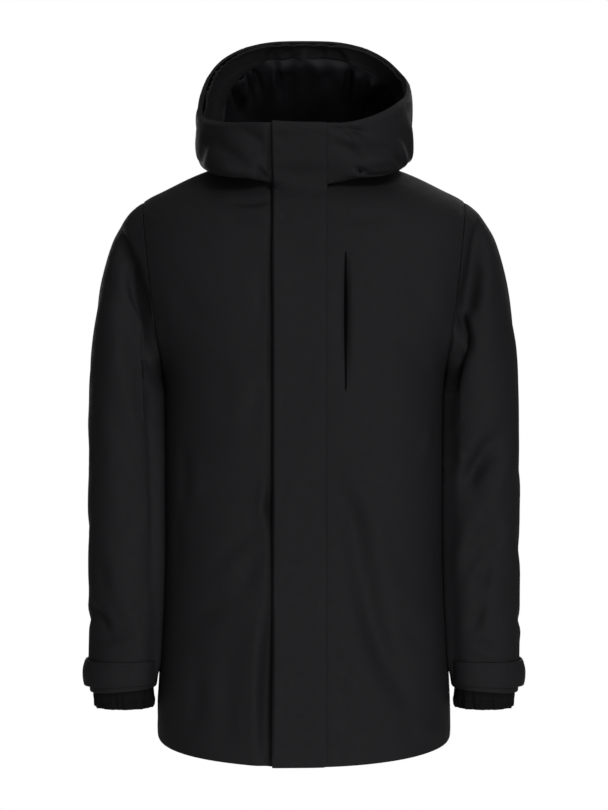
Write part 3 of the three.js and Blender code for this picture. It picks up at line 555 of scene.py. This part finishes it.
def layOutCut(obj, kind):   # the cloth's own coordinates in metres, which its weave follows
    mesh = obj.data
    mesh.uv_layers.new(name="cut")
    points = coordsOf(mesh)
    if kind == "sleeve":
        across, ahead = np.abs(points[:, 0]) - middle["armX"] / 1000, points[:, 1] - middle["armY"] / 1000
        turn = np.arctan2(ahead, across)
    else:
        behind = middle["hoodY"] / 1000 if kind in ("hood", "lining") else 0
        turn = np.arctan2(points[:, 0], behind - points[:, 1])
    radius = cutRadius.get(kind, cutRadius["body"])
    corner = np.empty(len(mesh.loops), np.int32)
    mesh.loops.foreach_get("vertex_index", corner)
    u, v = turn[corner], points[corner, 2]
    first = np.empty(len(mesh.polygons), np.int32)
    mesh.polygons.foreach_get("loop_start", first)
    count = np.empty(len(mesh.polygons), np.int32)
    mesh.polygons.foreach_get("loop_total", count)
    face = np.repeat(np.arange(len(first)), count)
    lowest = np.full(len(first), 9.0)
    highest = np.full(len(first), -9.0)
    np.minimum.at(lowest, face, u)
    np.maximum.at(highest, face, u)
    u = np.where((highest - lowest)[face] > np.pi, np.where(u < 0, u + 2 * np.pi, u), u)   # across the join
    mesh.uv_layers["cut"].data.foreach_set("uv", np.stack([u * radius, v], axis=1).ravel())


def finish(obj, material, *nodes):
    obj.data.materials.clear()
    obj.data.materials.append(material)
    obj.data.shade_smooth()
    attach(obj, "root")
    if nodes:
        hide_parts(*nodes)
    return obj


# the armhole's seam, seen from the front: a line that leans out from a low point, in mm
armholeLine = {"x": 195, "height": 520, "across": 0.99, "up": 0.117, "lean": 0.118, "low": 500}


def pastArmhole(co):
    out = np.abs(co[:, 0]) - armholeLine["x"]
    return armholeLine["across"] * out - armholeLine["up"] * (co[:, 2] - armholeLine["height"])


# creases die away at the armhole, under the sleeve and at the neck, so that the seams stay closed
def bodyHold(co):
    toArmhole = np.where(co[:, 2] > armholeLine["low"], pastArmhole(co), -99)
    bySleeve = np.clip((np.abs(co[:, 0]) - 168) / 12, 0, 1) * np.clip((80 - np.abs(co[:, 1] + 12)) / 16, 0, 1)
    bySleeve *= np.clip((co[:, 2] - 70) / 30, 0, 1)
    byNeck = np.clip((815 - co[:, 2] + 40 * (co[:, 1] > 0)) / 30, 0.1, 1)
    return np.clip(-toArmhole / 22, 0, 1) * (1 - bySleeve) * byNeck


def sleeveHold(co):
    byArmhole = np.clip(pastArmhole(co) / 8, 0, 1)
    byBody = np.clip((np.abs(co[:, 0]) - 201) / 14, 0, 1)
    byEnd = np.clip((co[:, 2] - 88) / 25, 0.2, 1)
    return np.where(co[:, 2] > armholeLine["low"], byArmhole, byBody) * byEnd


# the chest pocket's upright slit in mm: how far the front falls in beside it and at it, how far in the welt
# lies at the slit, at its other side and at its ends, and how the zip's tape widens and sinks with the slit
pocket = {
    "x": 56, "low": 499, "high": 689, "sink": 2.0, "leftWidth": 13, "rightWidth": 7,
    "slit": 6.0, "slitAside": 0.6, "slitWidth": 3.0, "weltIn": 1.6, "weltSide": 9, "weltEnds": 5,
    "apart": 0.9, "tapeWider": 0.9, "tapeNarrow": 0.5, "tapeSink": 0.9, "tapeIn": 1.2,
}


def pocketShape(co):   # 0 at the slit's ends and 1 where it is widest, a little above its middle
    up = np.clip((co[:, 2] - pocket["low"]) / (pocket["high"] - pocket["low"]), 0, 1)
    return np.sin(np.pi * up ** 1.25) ** 0.8


def pocketSink(co, normals):   # the front falls in beside the slit
    aside = co[:, 0] - pocket["x"]
    front = co[:, 1] < 0
    slope = np.where(aside < 0, bell(aside, pocket["leftWidth"]), bell(aside, pocket["rightWidth"]))
    slit = pocket["slit"] * bell(aside - pocket["slitAside"], pocket["slitWidth"])
    return front * pocketShape(co) * (pocket["sink"] * slope + slit)


def weltLie(co, normals):   # the welt stands at the slit and goes in under the front at its other side
    aside = co[:, 0] - pocket["x"]
    across = np.clip((aside - 1.5) / 3.5, 0, 1)
    return pocket["weltIn"] + pocket["weltSide"] * across + pocket["weltEnds"] * (1 - pocketShape(co))


def weltApart(co):   # the slit gapes in the middle
    moves = np.zeros_like(co)
    moves[:, 0] = pocket["apart"] * pocketShape(co) * np.clip((64 - co[:, 0]) / 6, 0, 1)
    return moves


def zipApart(co):   # the tape is as wide as the slit
    moves = np.zeros_like(co)
    wider = pocket["tapeWider"] * pocketShape(co) - pocket["tapeNarrow"]
    moves[:, 0] = (co[:, 0] - pocket["x"]) * wider
    return moves


def zipSink(co, normals):
    return pocket["tapeSink"] * pocketSink(co, normals) + pocket["tapeIn"]


flap = {
    "studX": -29, "studHeights": [838, 730, 612, 484, 356, 232, 108], "studRadius": 6.5, "studDepth": 1.3,
    "rollAt": 10, "rollWidth": 4, "rollUp": 0.4, "stitchX": 29.3, "stitchWidth": 2.4, "stitchDeep": 0.8,
    "drop": 2.5,
}


# the hidden press studs draw small dimples in the flap, and its stitching sinks in
def studDimples(co, normals):
    inward = np.zeros(len(co))
    for height in flap["studHeights"]:
        away = np.hypot(co[:, 0] - flap["studX"], co[:, 2] - height)
        inward += flap["studDepth"] * bell(away, flap["studRadius"])
        inward -= flap["rollUp"] * bell(away - flap["rollAt"], flap["rollWidth"])
    return inward + flap["stitchDeep"] * bell(co[:, 0] - flap["stitchX"], flap["stitchWidth"])


def deeper(table, times):   # the soft light needs deeper folds than the tables give
    return [row[:6] + (row[6] * times, row[7]) for row in table]


gains = {"body": 1.6, "sleeve": 1.25, "hood": 2.1, "lining": 1.5}
bodyTables = [deeper(bodyCreases, gains["body"]), bodyFaint]
hoodTables = [deeper(hoodCreases, gains["hood"]), hoodFaint]
sleeveTables = [deeper(sleeveCreases, gains["sleeve"]), sleeveFaint]
pieces = {}
for node, extra in (("front_left", pocketSink), ("front_right", None), ("back", None)):
    pieces[node] = clothFrom(node, "body", 3, bodyTables, shellCloth, extra=extra, fade=bodyHold)
    print("body panel", node)


def flapDrop(co):   # its top ends level with the rim beside it
    moves = np.zeros_like(co)
    moves[:, 2] = -flap["drop"] * np.clip((co[:, 2] - 840) / 15, 0, 1)
    return moves


pieces["storm_flap"] = clothFrom("storm_flap", "body", 2, bodyTables + hoodTables[:1], shellCloth,
                                 extra=studDimples, slide=flapDrop, fade=bodyHold, seam=0.4)
# the zips' tapes are near black: their colour is painted shade
pieces["front_zip"] = clothFrom("front_zip", "body", 2, bodyTables, zipTapePaintedShade, fade=bodyHold, pucker=0, seam=0)
pieces["chest_pocket_zip"] = clothFrom("chest_pocket_zip", "body", 2, bodyTables, zipTapePaintedShade,
                                       extra=zipSink, slide=zipApart, fade=bodyHold, pucker=0, seam=0)
pieces["chest_pocket_welt"] = clothFrom("chest_pocket_welt", "body", 3, bodyTables, shellCloth,
                                        extra=weltLie, slide=weltApart, fade=bodyHold, pucker=0, seam=0)


# the sleeve falls in beside the armhole. Each row: height, how far out the coat's edge lies there, depth,
# how wide the falling side is, and how far the fold runs out over the sleeve, in mm
armhole = {
    "turn": 1.6, "steep": 0.62,
    "right": [(190, 200, 0, 8, 20), (240, 198, 5, 10, 24), (330, 196, 7, 10, 30), (500, 196, 11, 10, 32),
              (580, 202, 18, 13, 32), (612, 206, 24, 16, 32), (638, 212, 26, 18, 28), (674, 222, 21, 15, 24),
              (715, 242, 8, 9, 14), (738, 252, 0, 8, 10)],
    "left": [(480, 194, 0, 8, 10), (560, 200, 5, 9, 12), (609, 206, 12, 12, 14), (640, 211, 14, 13, 16),
             (668, 217, 13, 13, 15), (721, 228, 8, 9, 12), (750, 238, 0, 8, 10)],
    "behind": [(440, 194, 0, 8, 12), (500, 196, 6, 9, 16), (560, 202, 9, 11, 20), (610, 209, 10, 12, 20),
               (680, 220, 7, 10, 14), (740, 236, 0, 8, 10)],
}


def armholeFold(co, normals):
    total = np.zeros(len(co))
    front = np.clip(-normals[:, 1] * armhole["turn"], 0, 1)
    back = np.clip(normals[:, 1] * armhole["turn"], 0, 1)
    places = {"right": front * (co[:, 0] < 0), "left": front * (co[:, 0] > 0), "behind": back}
    for name, facing in places.items():
        heights, edges, depths, falls, reaches = np.array(armhole[name], float).T
        fall = np.interp(co[:, 2], heights, falls)
        past = np.abs(co[:, 0]) - np.interp(co[:, 2], heights, edges) - fall
        reach = np.where(past < 0, armhole["steep"] * fall, np.interp(co[:, 2], heights, reaches))
        total += facing * bell(past, reach) * np.interp(co[:, 2], heights, depths)
    return total


shoulder = {"height": 716, "half": 17, "out": 1.9, "seam": 1.2, "seamWidth": 4, "seamFrom": 735}


def shoulderRound(co):   # the shoulder's outline is full, and the seam sinks in on top of it
    moves = np.zeros_like(co)
    bulge = bell(co[:, 2] - shoulder["height"], shoulder["half"])
    outer = np.clip((np.abs(co[:, 0]) - 228) / 18, 0, 1)
    moves[:, 0] = np.sign(co[:, 0]) * shoulder["out"] * bulge * outer
    past = np.abs(co[:, 0]) - armholeLine["x"] - armholeLine["lean"] * (co[:, 2] - armholeLine["height"])
    onTop = np.clip((co[:, 2] - shoulder["seamFrom"]) / 10, 0, 1)
    moves[:, 2] = -shoulder["seam"] * bell(past, shoulder["seamWidth"]) * onTop
    return moves


def treeOf(*objs):   # the faces of some pieces, to aim at
    places, faces = [], []
    for obj in objs:
        start = len(places)
        places += [v.co.copy() for v in obj.data.vertices]
        faces += [[start + i for i in polygon.vertices] for polygon in obj.data.polygons]
    return BVHTree.FromPolygons(places, faces)


# where a hanging sleeve lies on the coat's side: sizes in mm, how far its face must be turned to the coat,
# how often the contact is evened out, and how firmly it presses
contact = {
    "inner": 225, "low": 96, "high": 560, "reach": 12, "clear": 0.2, "fadeLow": 30, "fadeHigh": 60,
    "turned": 0.55, "evens": 10, "press": 1.15,
}


def lieAgainst(sleeve, side, *body):
    tree = treeOf(*body)
    mesh = sleeve.data
    co = coordsOf(mesh)
    normals = np.empty(len(co) * 3)
    mesh.vertices.foreach_get("normal", normals)
    turned = -normals.reshape(-1, 3)[:, 0] * side
    height = co[:, 2] * 1000 + hemDrop
    near = (np.abs(co[:, 0]) < contact["inner"] / 1000) & (turned > contact["turned"])
    facing = np.flatnonzero(near & (height > contact["low"]) & (height < contact["high"]))
    room = np.zeros(len(co))
    for i in facing:
        ahead = tree.ray_cast(Vector(co[i]), Vector((-side, 0, 0)), contact["reach"] / 1000)
        room[i] = 0 if ahead[0] is None else max(ahead[3] - contact["clear"] / 1000, 0)
    fromLow, fromHigh = height - contact["low"], contact["high"] - height
    ends = np.minimum(fromLow / contact["fadeLow"], fromHigh / contact["fadeHigh"])
    shift = room * np.clip((turned - contact["turned"]) / 0.3, 0, 1) * np.clip(ends, 0, 1)
    links = np.empty(len(mesh.edges) * 2, np.int32)
    mesh.edges.foreach_get("vertices", links)
    links = links.reshape(-1, 2)
    links = links[(turned[links] > 0.3).all(axis=1)]
    count = np.bincount(links.ravel(), minlength=len(co))
    for _ in range(contact["evens"]):
        total = np.bincount(links[:, 0], shift[links[:, 1]], len(co))
        total += np.bincount(links[:, 1], shift[links[:, 0]], len(co))
        shift = np.where(count > 0, (shift + total) / (1 + count), shift)
    co[:, 0] -= side * np.where(room > 0, np.minimum(shift * contact["press"], room), shift)
    mesh.vertices.foreach_set("co", co.ravel())
    mesh.update()


for node, side, front in (("sleeve_left", 1, "front_left"), ("sleeve_right", -1, "front_right")):
    pieces[node] = clothFrom(node, "sleeve", 3, sleeveTables, shellCloth, extra=armholeFold,
                             slide=shoulderRound, fade=sleeveHold, pucker=0.1, seam=0.2)
    lieAgainst(pieces[node], side, pieces[front], pieces["back"])
for node in ("cuff_tab_left", "cuff_tab_right"):
    pieces[node] = clothFrom(node, "sleeve", 3, sleeveTables[:1], shellCloth, fade=sleeveHold, seam=0.3)
print("sleeves and tabs made")


def cuffGathers(co, normals):   # fine uneven gathers from the elastic, below the sleeve's end
    turn = np.arctan2(co[:, 1] - middle["cuffY"], np.abs(co[:, 0]) - middle["cuffX"])
    below = np.clip((96 - co[:, 2]) / 14, 0, 1)
    return below * (0.9 * np.sin(turn * 23 + 2 * np.sin(turn * 4)) + 0.5 * np.sin(turn * 37 + 1))


# the inner cuffs, in elastic whose darker colour is painted shade
for node in ("storm_cuff_left", "storm_cuff_right"):
    pieces[node] = clothFrom(node, "sleeve", 2, [], cuffClothPaintedShade, extra=cuffGathers, pucker=0, seam=0.2)


# how far the facing's lower edge leans into the hood at its front, back, right and left, over what depths
# the facing and the lining lean, and how the facing's top turns out and its bottom stands proud, in mm
lean = {
    "front": (0, 4, 0), "back": (0, -20, -11), "right": (31, 8, -5), "left": (-11, 3, -5),
    "facing": 30, "lining": 150, "wave": 1.8, "out": 1.0, "up": 1.4, "turnWidth": 12, "proud": 0.8,
    "proudAt": 22, "sectors": 42, "widest": 60,
}


def rimPoints():   # the highest points of the facing, all round
    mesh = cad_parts["hood_facing"].data
    co = inMm([v.co for v in mesh.vertices])
    turn = np.arctan2(co[:, 0], middle["hoodY"] - co[:, 1])
    sector = np.floor((turn + np.pi) / (2 * np.pi) * lean["sectors"]).astype(int)
    tops = [co[sector == k][np.argmax(co[sector == k][:, 2])] for k in sorted(set(sector))]
    between = []
    for a, b in zip(tops, tops[1:] + tops[:1]):
        if np.linalg.norm(a - b) < lean["widest"]:
            between += [a + (b - a) * share for share in (0, 0.25, 0.5, 0.75)]
    return pointTree([Vector(point) for point in between])


rim = rimPoints()


def fromRim(co):
    return np.array([rim.find(Vector(point))[2] for point in co])


def hoodHold(co):   # the creases die away at the neck, and at the rim, where the facing lies inside
    away = fromRim(co)
    atRim = np.where(co[:, 1] < -60, np.clip(away / 12, 0.2, 1), np.clip((away - 4) / 26, 0, 1))
    return np.clip((co[:, 2] - 775) / 15, 0, 1) * atRim


for node in ("hood_side_left", "hood_side_right", "hood_centre"):
    pieces[node] = clothFrom(node, "hood", 3, hoodTables, shellCloth, fade=hoodHold)
    print("hood panel", node)


def leanIn(co):
    away = fromRim(co)
    below = np.clip((away - lean["facing"]) / lean["lining"], 0, 1)
    share = np.where(away < lean["facing"], away / lean["facing"], 1 - below * below * (3 - 2 * below))
    turn = np.arctan2(co[:, 0], middle["hoodY"] - co[:, 1])
    ahead, aside = np.cos(turn), np.sin(turn)
    parts = {"front": ahead > 0, "back": ahead < 0, "right": aside < 0, "left": aside > 0}
    moves = np.zeros_like(co)
    for name, here in parts.items():
        weight = (ahead if name in ("front", "back") else aside) ** 2
        moves += (here * weight * share)[:, None] * np.array(lean[name])
    moves[:, 2] += lean["wave"] * share * np.sin(15 * turn + 2 * np.sin(4 * turn))
    return moves


def facingIn(co):   # its top edge turns out over the shell's
    moves = leanIn(co)
    near = bell(fromRim(co), lean["turnWidth"])[:, None]
    out = co - (0, middle["hoodY"], 0)
    out[:, 2] = 0
    out /= np.linalg.norm(out, axis=1)[:, None]
    return moves + near * (lean["out"] * out + (0, 0, lean["up"]))


def facingLie(co, normals):   # its lower edge stands proud of the lining
    return -lean["proud"] * np.clip((fromRim(co) - lean["proudAt"]) / 6, 0, 1)


def liningHold(co):   # its folds begin below the facing
    return np.clip((fromRim(co) - 33) / 12, 0.1, 1)


pieces["hood_facing"] = clothFrom("hood_facing", "lining", 3, [], shellCloth, extra=facingLie, slide=facingIn,
                                  pucker=0.3, seam=0)
pieces["hood_lining"] = clothFrom("hood_lining", "lining", 3, [deeper(liningCreases, gains["lining"])],
                                  liningCloth, slide=leanIn, fade=liningHold, pucker=0, seam=1.4)
print("cloth made")

sewing = {"pitch": 3.6, "half": 1.25, "girth": 0.42, "flapLow": 10, "flapHigh": 846,
          "tabRows": (100, 126.5), "tabRadius": 54}   # in mm


def meshFrom(name, work):
    bmesh.ops.recalc_face_normals(work, faces=work.faces)
    mesh = bpy.data.meshes.new(name)
    work.to_mesh(mesh)
    work.free()
    return placed(name, mesh)


def seated(at, out, along, size):   # where a small thing sits on the cloth: side, along and out, in mm
    side = along.cross(out).normalized()
    turn = Matrix((side, out.cross(side), out)).transposed().to_4x4()
    scale = Matrix.Diagonal([length / 1000 for length in size] + [1])
    return Matrix.Translation(at) @ turn @ scale


def stitch(work, hit, along):
    if hit[0] is not None:
        size = (sewing["girth"], sewing["half"], sewing["girth"] * 0.8)
        place = seated(hit[0], hit[1], along, size)
        bmesh.ops.create_icosphere(work, subdivisions=1, radius=1, matrix=place)


def flapStitches():
    work = bmesh.new()
    tree = treeOf(pieces["storm_flap"])
    for height in np.arange(sewing["flapLow"], sewing["flapHigh"], sewing["pitch"]):
        start = Vector((flap["stitchX"], -500, height - hemDrop)) / 1000
        stitch(work, tree.ray_cast(start, Vector((0, 1, 0))), Vector((0, 0, 1)))
    return meshFrom("flap_stitches", work)


def tabStitches(side, name):
    work = bmesh.new()
    tree = treeOf(pieces["cuff_tab_" + name])
    for height in sewing["tabRows"]:
        centre = Vector((side * middle["cuffX"], middle["cuffY"], height - hemDrop)) / 1000
        for turn in np.arange(0, 2 * math.pi, sewing["pitch"] / sewing["tabRadius"]):
            out = Vector((math.sin(turn), -math.cos(turn), 0))
            along = Vector((math.cos(turn), math.sin(turn), 0))
            stitch(work, tree.ray_cast(centre + out * 0.1, -out, 0.1), along)
    return meshFrom("tab_stitches_" + name, work)


pieces["flap_stitches"] = finish(flapStitches(), thread)
for side, name in ((1, "left"), (-1, "right")):
    pieces["tab_stitches_" + name] = finish(tabStitches(side, name), thread)


coil = {   # the zips' teeth, in mm
    "pitch": 1.7, "offset": 0.9, "lift": 0.4, "tooth": (3.0, 1.2, 2.4), "pocketTooth": (2.0, 1.1, 1.6),
    "bevel": 0.2, "low": 6, "high": 822, "fromEnds": 6,
}


def teeth(name, tape, x, low, high, size):   # two rows that mesh, through the tape
    work = bmesh.new()
    tree = treeOf(tape)
    for i, height in enumerate(np.arange(low, high, coil["pitch"])):
        start = Vector((x, -500, height - hemDrop)) / 1000
        hit = tree.ray_cast(start, Vector((0, 1, 0)))
        if hit[0] is not None:
            shift = Vector((coil["offset"] * (1 if i % 2 else -1), coil["lift"], 0)) / 1000
            place = seated(hit[0] + shift, hit[1], Vector((0, 0, 1)), size)
            bmesh.ops.create_cube(work, size=1, matrix=place)
    bmesh.ops.bevel(work, geom=work.edges[:], offset=coil["bevel"] / 1000, affect="EDGES", segments=1,
                    profile=0.5, material=-1)
    return meshFrom(name, work)


frontTeeth = teeth("front_zip_teeth", pieces["front_zip"], 0, coil["low"], coil["high"], coil["tooth"])
pocketTeeth = teeth("pocket_zip_teeth", pieces["chest_pocket_zip"], pocket["x"],
                    pocket["low"] + coil["fromEnds"], pocket["high"] - coil["fromEnds"], coil["pocketTooth"])
pieces["front_zip_teeth"] = finish(frontTeeth, toothPlastic)
pieces["pocket_zip_teeth"] = finish(pocketTeeth, toothPlastic)

eyeletAt = {"x": 76, "height": 798, "ring": 2.4, "wire": 0.9}   # in mm


def eyelet():   # a turned ring in the collar, with a flat black disc across it as the painted shade of its hole
    work = bmesh.new()
    upright = Matrix.Translation((eyeletAt["ring"], 0, 0)) @ Matrix.Rotation(math.pi / 2, 4, "X")
    bmesh.ops.create_circle(work, segments=10, radius=eyeletAt["wire"], matrix=upright)
    bmesh.ops.spin(work, geom=work.verts[:] + work.edges[:], cent=(0, 0, 0), axis=(0, 0, 1),
                   angle=2 * math.pi, steps=28, use_merge=True)
    bmesh.ops.remove_doubles(work, verts=work.verts, dist=1e-4)
    # a flat disc across the ring: painted shade where the hole would be dark
    bmesh.ops.create_circle(work, cap_ends=True, segments=28, radius=eyeletAt["ring"])
    start = Vector((eyeletAt["x"], -500, eyeletAt["height"] - hemDrop)) / 1000
    hit = treeOf(pieces["hood_side_left"]).ray_cast(start, Vector((0, 1, 0)))
    bmesh.ops.transform(work, matrix=seated(hit[0], hit[1], Vector((0, 0, 1)), (1, 1, 1)), verts=work.verts)
    return meshFrom("collar_eyelet_with_painted_hole", work)


pieces["collar_eyelet_with_painted_hole"] = finish(eyelet(), enamelAndPaintedHoleShade)
print("stitches, teeth and eyelet made")

# the number of triangles in all the pieces
total = sum(len(polygon.vertices) - 2 for obj in pieces.values() for polygon in obj.data.polygons)
print("triangles in all:", total)

lens = {"at": (0, -2.6, -0.348), "tilt": 90, "length": 82.53, "sensor": 36}
camera = placed("camera", bpy.data.cameras.new("camera"))
camera.location = lens["at"]
camera.rotation_euler = (math.radians(lens["tilt"]), 0, 0)
camera.data.lens = lens["length"]
camera.data.sensor_width = lens["sensor"]
scene.camera = camera

# the light comes mainly from the coat's left and front: sizes and places in metres, power in watts
studio = {
    "aim": (0, 0, -0.35),
    "key": {"at": (1.25, -2.6, 2.1), "size": 1.3, "power": 66},
    "fill": {"at": (0.7, -3.3, -1.2), "size": 1.3, "power": 68},
    "top": {"at": (0, -0.3, 2.7), "size": 1.2, "power": 15},
    "backLeft": {"at": (1.5, 3.2, 1.6), "size": 1.6, "power": 26},
    "backRight": {"at": (-1.5, 3.4, 0.4), "size": 1.6, "power": 24},
    "backLow": {"at": (0.3, 3.3, -0.9), "size": 1.6, "power": 84},
    "surround": 0.16, "floorHeight": -1.5, "floorRadius": 2.3,
}
for name in ("key", "fill", "top", "backLeft", "backRight", "backLow"):
    made = studio[name]
    lamp = placed(name, bpy.data.lights.new(name, "AREA"))
    lamp.location = made["at"]
    lamp.rotation_euler = (Vector(studio["aim"]) - Vector(made["at"])).to_track_quat("-Z", "Y").to_euler()
    lamp.data.size = made["size"]
    lamp.data.energy = made["power"]

world = bpy.data.worlds.new("studio")
world.use_nodes = True
scene.world = world
tree = world.node_tree
tree.nodes.clear()
ray = addNode(tree, "ShaderNodeLightPath").outputs["Is Camera Ray"]
white = (1, 1, 1, 1)
soft = addNode(tree, "ShaderNodeBackground", {"Color": white, "Strength": studio["surround"]}).outputs[0]
seen = addNode(tree, "ShaderNodeBackground", {"Color": white, "Strength": 1.0}).outputs[0]
both = addNode(tree, "ShaderNodeMixShader", {0: ray, 1: soft, 2: seen}).outputs[0]
addNode(tree, "ShaderNodeOutputWorld", {"Surface": both})
scene.view_settings.view_transform = "Standard"

work = bmesh.new()
bmesh.ops.create_circle(work, cap_ends=True, radius=studio["floorRadius"], segments=96,
                        matrix=Matrix.Translation((0, 0, studio["floorHeight"])))
floorMesh = bpy.data.meshes.new("floor")
work.to_mesh(floorMesh)
work.free()
floor = placed("floor", floorMesh)
# white painted studio floor, matt, even
floorMesh.materials.append(hardMaterial("matt floor paint", {
    "dark": "#F2F2F2", "light": "#F7F7F7", "grainMm": 400, "rough": 0.85, "gloss": 0.3,
    "bump": 0.02, "metal": 0,
}))
